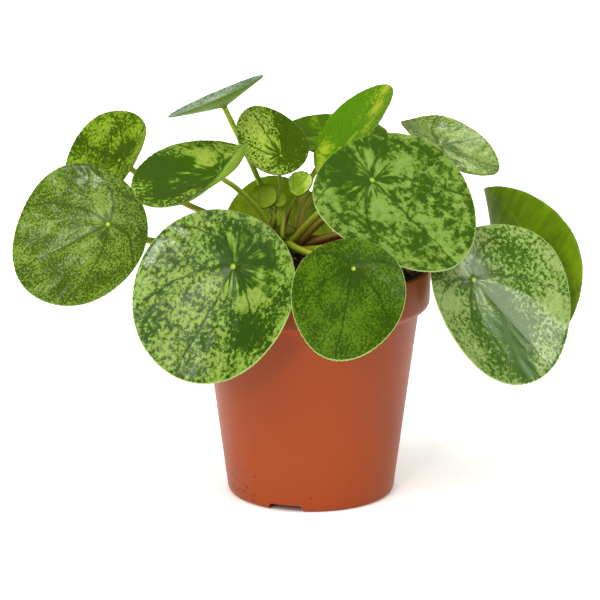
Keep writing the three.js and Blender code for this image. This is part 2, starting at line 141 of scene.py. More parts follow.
# Each leaf has the form that the part's source gives it, in millimetres and degrees. hub is where its stalk
# joins it. face is the way it looks, turned from the front to the right and raised. turn is how far its tip
# is turned from straight downhill. set puts the blade's middle beyond the hub, and egg narrows its tip half.
# cone, cup and wave bend all of it, and each of the curls lifts a stretch of the margin. start is the angle
# and height where the stalk leaves the stem, via are the points it passes, and thick are its two radii.
# Then comes its look. greens are its dark, middle and pale green, and pale is how far the pale wins over
# the dark. streaks are the share of the blade that pale streaks reach on their longest side, the degrees
# from the tip where that side lies, and the share that they reach opposite. mottle is the strength of broad
# blotches, the strength of fine specks and how many of these go in a metre. quilt is how high the blade
# puffs up between its veins, and gloss how strong its wax shines. Each of the patches is paler or darker
# than the rest, by its place along and across the blade, its radius and how much paler it is.
LEAVES = [
    dict(name="left", hub=(-101, 0, 137), face=(-20, 33), turn=-57, long=73, wide=74, set=0.23,
         egg=0.09, cone=0, cup=(-1.5, 5.5), wave=(1.5, 30), curls=(),
         start=(-75, 115), via=((-41, 19, 129), (-61, 12, 132), (-78, 5, 127)), thick=(2.0, 1.6),
         greens=("#3e5604", "#56700c", "#7a9236"), pale=0.01, streaks=(0.25, 180, 0.15),
         mottle=(0.65, 1.2, 900), quilt=0.2, gloss=0.5,
         patches=((-1, -13, 12, 0.1), (38, 16, 14, -0.08), (9, 30, 12, -0.05), (9, -24, 10, -0.08),
                  (-1, -27, 8, -0.08))),
    dict(name="left_back", hub=(-97, 35, 162), face=(-53, 39), turn=-93, long=53, wide=51, set=0.22,
         egg=0.04, cone=0, cup=(4, 2), wave=(-1, 40), curls=(),
         start=(-118, 118.5), via=((-36, 35, 129), (-53, 37, 134), (-75, 37, 145)), thick=(1.7, 1.5),
         greens=("#405a04", "#64800e", "#86a030"), pale=0, streaks=(0.15, 0, 0.15),
         mottle=(0.8, 1.1, 600), quilt=0.18, gloss=0.25,
         patches=((3, -6, 7, -0.1), (31, 3, 8, -0.05), (26, -13, 7, 0.06))),
    # high_left's greens are greyed and paled as a painted sheen: they stand in for the grey gloss on its top
    # face.
    dict(name="high_left", hub=(-44, 44, 188), face=(-101, 66), turn=87, long=53, wide=52, set=0.12,
         egg=0.03, cone=6, cup=(2, 2), wave=(0, 0), curls=(),
         start=(-140, 122.5), via=((-20, 37, 135), (-30, 42, 158)), thick=(1.5, 1.4),
         greens=("#66805a", "#8a9c80", "#aab8a4"), pale=-0.03, streaks=(0.4, 0, 0.4),
         mottle=(0.6, 1, 700), quilt=0.06, gloss=0.3,
         patches=()),
    dict(name="upper_left", hub=(-44.3, -12, 165.6), face=(-65, 66.5), turn=-65, long=63, wide=61, set=0.25,
         egg=-0.23, cone=0, cup=(5.3, -2.2), wave=(0, 0), curls=((190, 83, 11.4),),
         start=(-48, 119.5), via=((-25, 17, 138), (-36, 2, 154)), thick=(1.7, 1.25),
         greens=("#3f5a0c", "#567816", "#98ae4c"), pale=-0.05, streaks=(0.8, -10, 0.25),
         mottle=(0.55, 1.5, 560), quilt=0.04, gloss=0.3,
         patches=((34, -20, 9, 0.17), (22, -22, 9, 0.13), (12, -16, 8, 0.13), (26, -10, 7, 0.12),
                  (13, -7, 6, 0.1), (42, 4, 9, -0.3), (33, 2, 7, -0.25), (15, 7, 7, -0.06),
                  (24, 20, 8, -0.08))),
    dict(name="front_left", hub=(-38, -46, 127), face=(-26, 23), turn=-18, long=86, wide=86, set=0.2,
         egg=0.05, cone=0, cup=(1.8, 5.2), wave=(-1.1, 80), curls=(),
         start=(-15, 115), via=((-19, 5, 121.5),), thick=(2.0, 1.7),
         greens=("#304e04", "#527206", "#869e46"), pale=0.01, streaks=(0.75, 146, 0.1),
         mottle=(0.75, 1.3, 450), quilt=0.1, gloss=0.6,
         patches=((25, 27, 10, -0.25), (22, 15, 5, -0.15), (-15, 13, 9, -0.06), (11, -36, 6, -0.12),
                  (37, -4, 16, 0.03), (12, 17, 8, 0.1), (8, -8, 6, -0.1), (-6, 29, 6, 0.08),
                  (-5, -8, 6, -0.08))),
    dict(name="inner_top", hub=(-15, 34, 164.5), face=(32, 43), turn=195, long=40.5, wide=39.5, set=0.24,
         egg=0.13, cone=0, cup=(2.4, 3.3), wave=(-0.4, 150), curls=(),
         start=(-10, 124), via=((-14, 29.5, 135.5), (-15.3, 34, 148)), thick=(1.1, 0.95),
         greens=("#4a6602", "#809e1a", "#bcd064"), pale=0, streaks=(0.4, 0, 0.4),
         mottle=(0.4, 1.4, 800), quilt=0.04, gloss=0.1,
         patches=((12, 5, 9, 0.1), (0, -12, 9, -0.3), (12, -17, 8, -0.3), (22, -15, 6, -0.2),
                  (-6, 0, 5, -0.15), (2, 12, 6, 0.08), (24, 3, 8, 0.06))),
    dict(name="back", hub=(13, 80, 162.5), face=(10, 80), turn=180, long=56, wide=56, set=0.04,
         egg=0.03, cone=1, cup=(3, 3), wave=(0, 0), curls=((100, 60, 5),),
         start=(150, 121.5), via=((-4, 46, 141), (3, 62, 151)), thick=(1.5, 1.3),
         greens=("#4a6a04", "#5a7c06", "#789616"), pale=-0.06, streaks=(0.9, 0, 0.9),
         mottle=(1, 0.2, 560), quilt=0.03, gloss=0.1,
         patches=()),
    dict(name="top", hub=(16, 36, 168), face=(-71, 38), turn=188, long=58, wide=57, set=0.19,
         egg=0.04, cone=0, cup=(-1.3, 5.6), wave=(0, 0), curls=(),
         start=(96, 124.5), via=((-3, 31, 138), (5, 34, 150)), thick=(1.4, 1.25),
         greens=("#5a840a", "#6c9408", "#a4b430"), pale=-0.06, streaks=(0.3, 0, 0.3),
         mottle=(0.4, 0.9, 600), quilt=0.03, gloss=0.1,
         patches=((38, -2, 5, 0.25), (25, -8, 5, 0.25), (13, -14, 5, 0.2), (-5, 16, 5, 0.25),
                  (-13, 10, 5, 0.2), (15, 15, 9, -0.2), (27, 19, 8, -0.15))),
    dict(name="front_right", hub=(30, -15, 163), face=(22, 48), turn=27, long=84, wide=81, set=0.23,
         egg=0.2, cone=0, cup=(0.5, 2.8), wave=(0.9, 138), curls=(),
         start=(42, 122), via=((2, 15, 137), (15, 2, 150)), thick=(1.9, 1.7),
         greens=("#3c5a0e", "#58781a", "#829c4a"), pale=0.01, streaks=(0.9, -168, 0.1),
         mottle=(0.85, 1.2, 270), quilt=0.04, gloss=0.3,
         patches=((-14, -11, 9, -0.16), (2, 19, 9, 0.1), (19, -11, 10, 0.12), (-17, 19, 8, -0.12),
                  (1, -28, 6, 0.06), (50, -2, 7, -0.08), (18, 16, 6, -0.06))),
    dict(name="right_high", hub=(65, 30, 171), face=(71, 63), turn=72, long=57, wide=55, set=0.2,
         egg=0.04, cone=0, cup=(2.1, -3.5), wave=(-1.2, -103), curls=((60, 45, 3),),
         start=(80, 119), via=((8, 32, 133), (38, 34, 153)), thick=(1.8, 1.5),
         greens=("#466806", "#6c8c22", "#9cb056"), pale=0.03, streaks=(0.3, 0, 0.3),
         mottle=(0.6, 1.2, 700), quilt=0.2, gloss=0.6,
         patches=((19, -7, 8, 0.03),)),
    dict(name="right_back", hub=(110, 25, 118.3), face=(132.3, 12.6), turn=37, long=86.5, wide=82, set=0.16,
         egg=0.11, cone=0, cup=(6.4, -1.3), wave=(-1.9, 96), curls=((64, 69.5, 25.3),),
         start=(104, 115.4), via=((12, 31, 124), (45, 29, 132), (80, 27, 128)), thick=(1.9, 1.6),
         greens=("#3f6a06", "#5f8a12", "#8fb553"), pale=0, streaks=(0.5, 0, 0.5),
         mottle=(0.8, 0.8, 560), quilt=0.05, gloss=0.1,
         patches=()),
    dict(name="right", hub=(80, -25, 115), face=(35, 29), turn=30, long=82, wide=82, set=0.22,
         egg=0.01, cone=0, cup=(0, 8), wave=(-1.5, 159), curls=(),
         start=(54, 114.8), via=((5, 10, 122), (20, 0, 128), (45, -10, 129),
                  (64, -17, 121)), thick=(2.0, 1.7),
         greens=("#40620e", "#66882a", "#98aa68"), pale=0.02, streaks=(0.25, 0, 0.25),
         mottle=(0.6, 1.3, 520), quilt=0.07, gloss=0.85,
         patches=((-2, 25, 9, -0.12), (-11, 23, 8, 0.12), (28, -7, 13, -0.3), (34, 11, 9, -0.15),
                  (-4, -24, 8, 0.15), (37, 26, 8, 0.14), (47, -15, 8, -0.25), (15, 6, 8, -0.15),
                  (25, 40, 6, 0.1))),
    dict(name="front", hub=(20, -70, 132), face=(-9, 26), turn=-7, long=60.5, wide=54.5, set=0.26,
         egg=0.12, cone=0, cup=(2, 2), wave=(1.5, 68), curls=(),
         start=(16, 119), via=((-6, 0, 124), (8, -38, 128)), thick=(1.8, 1.5),
         greens=("#344f01", "#4c6a05", "#5c7a10"), pale=-0.03, streaks=(0.2, 0, 0.2),
         mottle=(0.55, 0.9, 900), quilt=0.1, gloss=0.1,
         patches=((-6, -2, 5, -0.12), (30, -12, 15, 0.03))),
    dict(name="behind", hub=(-19, 67, 130), face=(175, 15), turn=-10, long=59.5, wide=56, set=0.21,
         egg=0, cone=0, cup=(1.8, -1.3), wave=(-2, 10), curls=(),
         start=(186, 115.5), via=((-15, 50, 127),), thick=(1.7, 1.5),
         greens=("#3f6a06", "#5c8a14", "#8fb84c"), pale=0, streaks=(0.5, 0, 0.5),
         mottle=(0.8, 0.8, 560), quilt=0.05, gloss=0.1,
         patches=()),
    dict(name="young_left", hub=(-24.4, 24, 144.4), face=(-10, 40), turn=165, long=14, wide=14, set=0.12,
         egg=0.03, cone=0, cup=(4, 4), wave=(0, 0), curls=(),
         start=(-60, 126), via=((-18.5, 26, 136),), thick=(0.9, 0.8),
         greens=("#94a82c", "#a0b638", "#b0c44a"), pale=-0.04, streaks=(0.5, 0, 0.5),
         mottle=(1, 0.4, 560), quilt=0.02, gloss=0.1,
         patches=()),
    dict(name="young_right", hub=(-16.6, 27, 143.3), face=(20, 40), turn=190, long=11.5, wide=10, set=0.12,
         egg=0.03, cone=0, cup=(4, 4), wave=(0, 0), curls=(),
         start=(-105, 127), via=((-18, 28.5, 135.5),), thick=(0.8, 0.7),
         greens=("#94a82c", "#a0b638", "#b0c44a"), pale=-0.04, streaks=(0.5, 0, 0.5),
         mottle=(1, 0.4, 560), quilt=0.02, gloss=0.1,
         patches=()),
    dict(name="bud", hub=(-7.2, 27.5, 148), face=(-15, 30), turn=150, long=13.5, wide=12, set=0.3,
         egg=0.03, cone=0, cup=(0, 110), wave=(0, 0), curls=(),
         start=(175, 127), via=((-10, 33.5, 138),), thick=(0.8, 0.7),
         greens=("#8ca82c", "#a4b848", "#c0cc78"), pale=0.03, streaks=(0.4, 0, 0.4),
         mottle=(1, 0.5, 560), quilt=0.02, gloss=0.1,
         patches=()),
]

# Undersides: a dark and a pale green and the strength of the bands, for the leaves that show theirs and for
# the rest. The greens of behind are brightened as painted light: they stand in for light shining through its
# blade from behind.
UNDERSIDES = {"right_back": ("#546e06", "#7c960f", 0.6), "behind": ("#7c980e", "#a4bc26", 0.5),
              "high_left": ("#6c8c1c", "#8cac34", 0.3), "upper_left": ("#86a436", "#a4c050", 0.4)}
COMMON_UNDERSIDE = ("#5f7f24", "#7f9d3c", 0.3)
# The leaves in front, where the lights fall, get the pale rim, which is partly a painted highlight along
# their margins.
LIT_PALE_EDGED = ("front_left", "front_right", "right", "front", "inner_top")

# How red the foot of each stalk is, and that of a stalk without a number of its own. On the stalks that run
# under front_right's blade, such as right_back's, the strong blush is partly painted shade.
BLUSHES_AND_SHADE = {"front_right": 0.4, "right_high": 0.8, "right_back": 0.9, "right": 0.4, "back": 0.6, "top": 0.7,
           "inner_top": 0.35, "young_left": 0.6, "young_right": 0.9, "bud": 0.9, "left": 0.7,
           "left_back": 0.7, "upper_left": 0, "high_left": 0}
COMMON_BLUSH = 0.15


def linear(colour):
    """An sRGB hex colour as the linear red, green, blue and alpha that a socket takes."""
    values = [int(colour[i:i + 2], 16) / 255 for i in (1, 3, 5)]
    return [v / 12.92 if v <= 0.04045 else ((v + 0.055) / 1.055) ** 2.4 for v in values] + [1.0]


def add(tree, kind, settings):
    """Adds a node to a tree. Each setting is a property of the node, or one of its inputs with a constant
    or with the output that feeds it."""
    node = tree.nodes.new("ShaderNode" + kind)
    for key, value in settings.items():
        if isinstance(key, str) and hasattr(node, key):
            setattr(node, key, value)
        elif isinstance(value, bpy.types.NodeSocket):
            tree.links.new(value, node.inputs[key])
        else:
            node.inputs[key].default_value = value
    return node


def reckon(tree, operation, *values):
    """A number worked out from one to three others, each a constant or another node's output."""
    return add(tree, "Math", {"operation": operation, **dict(enumerate(values))}).outputs[0]


def combine(tree, operation, *vectors):
    """The same for vectors. A length or a dot product comes out as a number."""
    node = add(tree, "VectorMath", {"operation": operation, **dict(enumerate(vectors))})
    return node.outputs["Value" if operation in ("LENGTH", "DOT_PRODUCT") else "Vector"]


def ramp(tree, value, start, end, low=0.0, high=1.0, course="LINEAR"):
    """Goes from low to high while the value goes from start to end."""
    return add(tree, "MapRange", {"interpolation_type": course, "Value": value, "From Min": start,
                                  "From Max": end, "To Min": low, "To Max": high}).outputs[0]


def fade(tree, value, start, end, low=0.0, high=1.0):
    """A ramp that starts and ends softly."""
    return ramp(tree, value, start, end, low, high, "SMOOTHSTEP")


def mix(tree, share, first, second):
    """The first number where the share is 0, and the second where it is 1."""
    return add(tree, "Mix", {0: share, 2: first, 3: second}).outputs[0]


def blend(tree, share, first, second):
    """The same for colours, which a Mix node takes as its inputs 6 and 7."""
    return add(tree, "Mix", {"data_type": "RGBA", 0: share, 6: first, 7: second}).outputs[2]


def noise(tree, place, waves, detail=2, roughness=0.5):
    """Soft noise between 0 and 1 with so many waves a metre."""
    return add(tree, "TexNoise", {"Vector": place, "Scale": waves, "Detail": detail,
                                  "Roughness": roughness}).outputs[0]


def cells(tree, place, size, output="Distance", feature="F1"):
    """Uneven cells so many millimetres across."""
    node = add(tree, "TexVoronoi", {"feature": feature, "Vector": place, "Scale": 1000 / size})
    return node.outputs[output]


def bump(tree, height, strength, depth):
    """Fine relief that catches the light. depth is in metres."""
    return add(tree, "Bump", {"Height": height, "Strength": strength, "Distance": depth}).outputs[0]


def carried(tree, name, output="Fac"):
    """A value that the mesh carries at its points."""
    return add(tree, "Attribute", {"attribute_name": name}).outputs[output]


def own_place(tree):
    """The place in the object's own frame, in metres."""
    return add(tree, "TexCoord", {}).outputs["Object"]


def colour_scale(tree, value, stops):
    """A colour for each value, from stops that each give a value and its colour."""
    node = add(tree, "ValToRGB", {"Fac": value})
    elements = node.color_ramp.elements
    for element, (place, colour) in zip(elements, (stops[0], stops[-1])):
        element.position = place
        element.color = linear(colour)
    for place, colour in stops[1:-1]:
        elements.new(place).color = linear(colour)
    return node.outputs[0]


def new_material(name):
    """An empty material and its tree of nodes."""
    material = bpy.data.materials.new(name)
    material.use_nodes = True
    material.node_tree.nodes.clear()
    return material, material.node_tree


def set_surface(tree, settings):
    """Gives a material its one shader."""
    skin = add(tree, "BsdfPrincipled", settings)
    add(tree, "OutputMaterial", {"Surface": skin.outputs[0]})


def main_veins(tree, place, share, stray):
    """Distance in metres to the nearest main vein. They leave the hub and arch towards the tip."""
    axes = add(tree, "SeparateXYZ", {0: place})
    angle = reckon(tree, "ARCTAN2", axes.outputs["Y"], axes.outputs["X"])
    lean = reckon(tree, "MULTIPLY", reckon(tree, "SINE", angle), share)
    bent = reckon(tree, "MULTIPLY_ADD", lean, VEIN_BEND, angle)
    strayed = reckon(tree, "MULTIPLY_ADD", stray, 0.2, bent)
    turns = reckon(tree, "MULTIPLY_ADD", strayed, VEINS / math.tau, VEINS - 0.1 * VEINS / math.tau)
    beside = reckon(tree, "PINGPONG", turns, 0.5)
    aside = reckon(tree, "MULTIPLY", beside, combine(tree, "LENGTH", place))
    return reckon(tree, "MULTIPLY", aside, math.tau / VEINS)


def leaf_top(leaf, seed):
    """Waxy upper side of a leaf: dark green, broken up by pale streaks and flecks where cells have no
    green in them, with fine veins that lie a little below the surface."""
    material, tree = new_material("leaf_top_" + leaf["name"])
    place = carried(tree, "blade", "Vector")
    share = carried(tree, "share")
    away = combine(tree, "LENGTH", place)

    # Groups of cells about 0.5 mm across give the flecks their ragged edges.
    groups = cells(tree, place, 0.5, "Position")
    own = combine(tree, "ADD", groups, (seed * 0.31, seed * 0.17, 0))

    # Blotches about 14 mm wide carry specks of 1 to 4 mm, with detail down to half a millimetre.
    broad, fine, specks = leaf["mottle"]
    blotch = noise(tree, own, 72, 3, 0.62)
    speck = noise(tree, own, specks, 1 + math.log2(2200 / specks), 0.7)
    centred = reckon(tree, "MULTIPLY_ADD", blotch, broad, (1 - broad - fine) / 2)
    flecks = reckon(tree, "MULTIPLY_ADD", speck, fine, centred)

    # Streaks run out from the hub: their noise is stretched along the radius.
    heading = combine(tree, "NORMALIZE", place)
    spread = add(tree, "VectorMath", {"operation": "SCALE", 0: heading, "Scale": 3.2}).outputs[0]
    outward = reckon(tree, "MULTIPLY_ADD", away, 48, seed * 3.7)
    rise = add(tree, "CombineXYZ", {"Z": outward}).outputs[0]
    streak = noise(tree, combine(tree, "ADD", spread, rise), 1.6, 2, 0.6)
    thinned = reckon(tree, "MULTIPLY_ADD", blotch, 0.9, streak)
    sharper = reckon(tree, "SUBTRACT", thinned, 0.49)

    # They reach furthest on one side, and break up into flecks round the end of their reach.
    most, side, least = leaf["streaks"]
    toward = (math.cos(math.radians(side)), math.sin(math.radians(side)), 0)
    facing = combine(tree, "DOT_PRODUCT", heading, toward)
    reach = reckon(tree, "MULTIPLY_ADD", facing, (most - least) / 2, (most + least) / 2)
    breaking = fade(tree, reckon(tree, "DIVIDE", share, reach), 0.5, 1.5)
    pattern = mix(tree, breaking, sharper, flecks)

    # The blade stays green along its main veins.
    wobble = noise(tree, own, 90)
    aside = main_veins(tree, place, share, wobble)
    bank = fade(tree, aside, 0.0002, 0.0018, -0.06, 0.0)
    placed = reckon(tree, "ADD", pattern, carried(tree, "patch"))
    level = reckon(tree, "ADD", placed, bank)
    edge = 0.5 - leaf["pale"]
    middle = fade(tree, level, edge - 0.09, edge + 0.01)
    pale = fade(tree, level, edge, edge + 0.02)
    palest = fade(tree, level, edge + 0.02, edge + 0.16)

    # A thin dark line in each vein gets narrower outwards, and a net of fine veins lies between.
    gauge = ramp(tree, share, 0, 1, 0.0017, 0.0004)
    vein = fade(tree, reckon(tree, "DIVIDE", aside, gauge), 1.0, 0.1)
    net = cells(tree, place, 5.5, feature="DISTANCE_TO_EDGE")
    netted = fade(tree, net, 0.08, 0.0)

    # Colour, from the dark ground up to the pale dot at the hub
    dark, mid, light = (linear(green) for green in leaf["greens"])
    ground = blend(tree, middle, dark, mid)
    ripe = blend(tree, palest, [(a + b) / 2 for a, b in zip(mid, light)], light)
    mottled = blend(tree, pale, ground, ripe)
    veined = blend(tree, reckon(tree, "MULTIPLY", vein, 0.75), mottled, dark)
    webbed = blend(tree, reckon(tree, "MULTIPLY", netted, 0.15), veined, dark)
    dot = 0.0004 + 0.000012 * leaf["long"]
    dotted = blend(tree, fade(tree, away, dot * 1.3, dot * 0.4), webbed, linear("#9fb83c"))

    # Relief: the veins are sunk by about 0.2 mm, and the skin has a fine grain.
    sunk = reckon(tree, "MULTIPLY_ADD", netted, 0.2, vein)
    grain = noise(tree, place, 1000 / 1.1, 3)
    relief = bump(tree, reckon(tree, "SUBTRACT", grain, sunk), 0.6, 0.00035)
    wax = ramp(tree, wobble, 0.3, 0.7, 0.24, 0.34)
    set_surface(tree, {"Base Color": dotted, "Normal": relief, "Roughness": wax, "IOR": 1.45,
                       "Specular IOR Level": 0.08 + 0.3 * leaf["gloss"], "Coat Weight": leaf["gloss"],
                       "Coat Roughness": 0.2})
    return material


def leaf_underside(name, low, high, bands):
    """Underside of a leaf: smooth and warmer green, with the veins raised and faint bands of paler cells
    along the blade. bands is how strong they are."""
    material, tree = new_material("leaf_underside_" + name)
    place = carried(tree, "blade", "Vector")
    cloud = noise(tree, place, 75, 6, 0.65)
    stretched = combine(tree, "MULTIPLY", place, (0.16, 1, 1))
    band = noise(tree, stretched, 210, 4, 0.6)
    along = mix(tree, bands, cloud, band)
    body = blend(tree, ramp(tree, along, 0.36, 0.64), linear(low), linear(high))
    vein = fade(tree, main_veins(tree, place, carried(tree, "share"), cloud), 0.0009, 0.0)
    veined = blend(tree, reckon(tree, "MULTIPLY", vein, 0.12), body, linear("#a9bf6a"))
    grain = noise(tree, place, 1000 / 0.9, 3)
    relief = bump(tree, reckon(tree, "ADD", vein, grain), 0.4, 0.0003)
    set_surface(tree, {"Base Color": veined, "Normal": relief, "Roughness": 0.58, "IOR": 1.4,
                       "Specular IOR Level": 0.3, "Subsurface Weight": 0.5,
                       "Subsurface Radius": (0.9, 1.0, 0.25), "Subsurface Scale": 0.003})
    return material


def leaf_edge(name, low, high):
    """The margin of a leaf is a thin, hard rim, paler than the blade where it has no green cells in it. On
    the lit leaves in front, the pale rim is partly a painted highlight.
    """
    material, tree = new_material("leaf_edge_" + name)
    cloud = noise(tree, carried(tree, "blade", "Vector"), 250)
    tone = blend(tree, cloud, linear(low), linear(high))
    set_surface(tree, {"Base Color": tone, "Roughness": 0.45, "IOR": 1.4})
    return material


def stalk_skin():
    """Fleshy leaf stalk: palest at the blade, with a red-brown blush that is strongest at the foot. Under
    front_right's blade the blush is partly painted shade.
    """
    material, tree = new_material("stalk_skin")
    space = own_place(tree)
    cloud = noise(tree, space, 160, 4)
    shift = reckon(tree, "MULTIPLY_ADD", cloud, 0.3, -0.15)
    along = reckon(tree, "ADD", carried(tree, "reach"), shift)
    green = blend(tree, along, linear("#a8bc2c"), linear("#c4d44c"))
    red = blend(tree, along, linear("#7c4a22"), linear("#a88a4c"))
    tint = blend(tree, carried(tree, "blush_and_shade"), green, red)
    relief = bump(tree, noise(tree, space, 900, 3), 0.35, 0.0002)
    set_surface(tree, {"Base Color": tint, "Normal": relief, "Roughness": 0.42, "IOR": 1.4,
                       "Subsurface Weight": 0.15, "Subsurface Radius": (0.8, 1.0, 0.3),
                       "Subsurface Scale": 0.002})
    return material


def stem_bark():
    """Young woody stem: olive and brown in soft blotches."""
    material, tree = new_material("stem_bark")
    cloud = noise(tree, own_place(tree), 220, 5, 0.65)
    tone = blend(tree, ramp(tree, cloud, 0.42, 0.6), linear("#66741e"), linear("#6e6226"))
    set_surface(tree, {"Base Color": tone, "Normal": bump(tree, cloud, 0.7, 0.0006), "Roughness": 0.7})
    return material


def peat():
    """Damp peat potting soil: nearly black brown, with crumbs of 0.5 to 3 mm."""
    material, tree = new_material("peat")
    space = own_place(tree)
    cloud = noise(tree, space, 300, 6, 0.7)
    tone = colour_scale(tree, cloud, [(0.35, "#1c130f"), (0.7, "#5a4334")])
    rough = reckon(tree, "ADD", cells(tree, space, 2.2), cloud)
    set_surface(tree, {"Base Color": tone, "Normal": bump(tree, rough, 0.9, 0.0012), "Roughness": 0.9})
    return material


def bark_chip():
    """Composted bark and wood fibre in the soil: split faces, from pinkish brown to nearly black."""
    material, tree = new_material("bark_chip")
    fibre = noise(tree, own_place(tree), 700, 4)
    shift = reckon(tree, "MULTIPLY_ADD", fibre, 0.5, -0.25)
    value = reckon(tree, "ADD", carried(tree, "tone"), shift)
    tone = colour_scale(tree, value, [(0.1, "#231812"), (0.55, "#5f3f2f"), (0.95, "#b08a76")])
    set_surface(tree, {"Base Color": tone, "Normal": bump(tree, fibre, 0.6, 0.0005), "Roughness": 0.85})
    return material


def moulded_plastic():
    """Injection-moulded polypropylene in terracotta colour: satin, with a faint grain and some dried
    splashes of soil near the foot."""
    material, tree = new_material("moulded_plastic")
    space = own_place(tree)
    cloud = noise(tree, space, 14, 3)
    body = blend(tree, cloud, linear("#97430f"), linear("#a14912"))

    # Splashes about 3 mm apart lie in groups, most of them at the left of the front, and thin out upwards.
    mirrored = combine(tree, "MULTIPLY", space, (-1, 1, 1))
    group = ramp(tree, noise(tree, mirrored, 38), 0.5, 0.66)
    height = add(tree, "SeparateXYZ", {0: space}).outputs["Z"]
    low = ramp(tree, height, 0.045, 0.0, 0.0, 0.34)
    size = reckon(tree, "MULTIPLY", low, group)
    speck = reckon(tree, "LESS_THAN", cells(tree, mirrored, 3.2), size)
    dirty = blend(tree, reckon(tree, "MULTIPLY", speck, 0.6), body, linear("#3a1c10"))

    relief = bump(tree, noise(tree, space, 1000 / 1.2), 0.12, 0.0002)
    sheen = ramp(tree, cloud, 0.3, 0.7, 0.34, 0.44)
    set_surface(tree, {"Base Color": dirty, "Normal": relief, "Roughness": sheen, "IOR": 1.49,
                       "Specular IOR Level": 0.36, "Subsurface Weight": 0.08,
                       "Subsurface Radius": (1.0, 0.3, 0.1), "Subsurface Scale": 0.002})
    return material


def studio_floor():
    """Matt white acrylic sheet, lit a little from below except where the pot stands."""
    material, tree = new_material("studio_floor")
    away = combine(tree, "LENGTH", own_place(tree))
    glow = fade(tree, away, DARK_RADIUS, GLOW_RADIUS, 0.0, FLOOR_GLOW)
    cloud = add(tree, "TexNoise", {"Scale": 3, "Detail": 2}).outputs[0]
    tone = blend(tree, cloud, linear("#f4f4f3"), linear("#f8f8f8"))
    set_surface(tree, {"Base Color": tone, "Roughness": 0.9, "Specular IOR Level": 0.2,
                       "Emission Color": (1, 1, 1, 1), "Emission Strength": glow})
    return material


def plain_mesh(name, points, faces):
    """An object with a mesh of its own, from points in millimetres."""
    mesh = bpy.data.meshes.new(name)
    mesh.from_pydata((np.asarray(points, float) * MM).tolist(), [], faces)
    made = bpy.data.objects.new(name, mesh)
    bpy.context.scene.collection.objects.link(made)
    return made


def piece(name, points, faces, materials, face_material=None, values=None, smooth=True):
    """A mesh that is a piece of the object. values are numbers or vectors for each point, by name."""
    made = plain_mesh(name, points, faces)
    mesh = made.data
    for material in materials:
        mesh.materials.append(material)
    if face_material is not None:
        mesh.polygons.foreach_set("material_index", np.asarray(face_material, np.int32))
    mesh.polygons.foreach_set("use_smooth", np.full(len(faces), smooth))
    for key, numbers in (values or {}).items():
        numbers = np.asarray(numbers, np.float32)
        if numbers.ndim == 2:
            mesh.attributes.new(key, "FLOAT_VECTOR", "POINT").data.foreach_set("vector", numbers.ravel())
        else:
            mesh.attributes.new(key, "FLOAT", "POINT").data.foreach_set("value", numbers)
    mesh.update()
    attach(made, "root")
    return made


def direction(turn, rise=0):
    """The way that is turned from the front to the right and raised by so many degrees."""
    turn, rise = math.radians(turn), math.radians(rise)
    return Vector((math.sin(turn) * math.cos(rise), -math.cos(turn) * math.cos(rise), math.sin(rise)))


def blade_frame(leaf):
    """The leaf's own directions: towards the tip, across the blade, and out of its top face."""
    angle, rise = leaf["face"]
    out = direction(angle, rise)
    downhill = direction(angle, rise - 90)
    side = out.cross(downhill)
    turn = math.radians(leaf["turn"])
    along = downhill * math.cos(turn) + side * math.sin(turn)
    return along, out.cross(along), out


def blade_form(leaf, share, angle):
    """Points of the top face in the leaf's own frame, as the part's source gives them."""
    x = share * leaf["long"] * (leaf["set"] + np.cos(angle) / 2)
    y = share * (leaf["wide"] / 2) * np.sin(angle) * (1 - leaf["egg"] * np.cos(angle))
    z = leaf["cone"] * share + leaf["cup"][0] * (x / CUP_REACH) ** 2 + leaf["cup"][1] * (y / CUP_REACH) ** 2
    z = z + leaf["wave"][0] * share ** 2 * np.cos(3 * angle - math.radians(leaf["wave"][1]))
    for place, width, height in leaf["curls"]:
        away = (np.degrees(angle) - place + 180) % 360 - 180
        lift = np.where(np.abs(away) < width, np.cos(away / width * math.pi / 2) ** 2, 0)
        z = z + height * share ** 4 * lift
    return x, y, z


def hub_hollow(leaf):
    """How deep the dimple is where the stalk meets the blade."""
    return HOLLOW_DEPTH * leaf["long"] / USUAL_LONG


def blade_relief(leaf, share, angle, seed):
    """Fine form on top of the blade's own: creases at the main veins, puffs between the fine ones, a ripple
    at the margin and a hollow at the hub."""
    size = leaf["long"] / USUAL_LONG
    bent = angle + VEIN_BEND * share * np.sin(angle)
    crease = 0.7 * size * np.abs(np.sin(bent * VEINS / 2)) * share * (1 - share ** 2)
    x = share * leaf["long"] / 2 * np.cos(angle)
    y = share * leaf["wide"] / 2 * np.sin(angle)
    draw = random.Random(seed)
    puffs = 0
    for period in PUFF_PERIODS:
        way = draw.uniform(0, math.pi)
        run = x * math.cos(way) + y * math.sin(way)
        puffs = puffs + np.sin(run * math.tau / period + draw.uniform(0, math.tau))
    puffed = leaf["quilt"] * np.abs(puffs) * share * (1 - share ** 6)
    ripple = np.sin(17 * angle + seed) + 0.7 * np.sin(29 * angle + 2 * seed)
    hollow = -hub_hollow(leaf) * np.exp(-((share / 0.06) ** 2))
    return crease + puffed + 0.07 * size * ripple * share ** 6 + hollow


def blade_reach(leaf, share, angle, seed):
    """How far the margin is drawn in between its low, uneven teeth."""
    teeth = round(math.pi * (leaf["long"] + leaf["wide"]) / 2 / TOOTH_PITCH)
    wander = 0.5 * np.sin(5 * angle + seed) + 0.3 * np.sin(11 * angle - seed)
    tooth = np.abs(np.sin(teeth / 2 * angle + wander)) ** 0.7
    depth = TOOTH_DEPTH * (0.6 + 0.4 * np.sin(7 * angle + 2 * seed)) / (leaf["long"] / 2)
    return 1 - depth * (1 - tooth) * np.clip((share - 0.9) / 0.1, 0, 1) ** 2


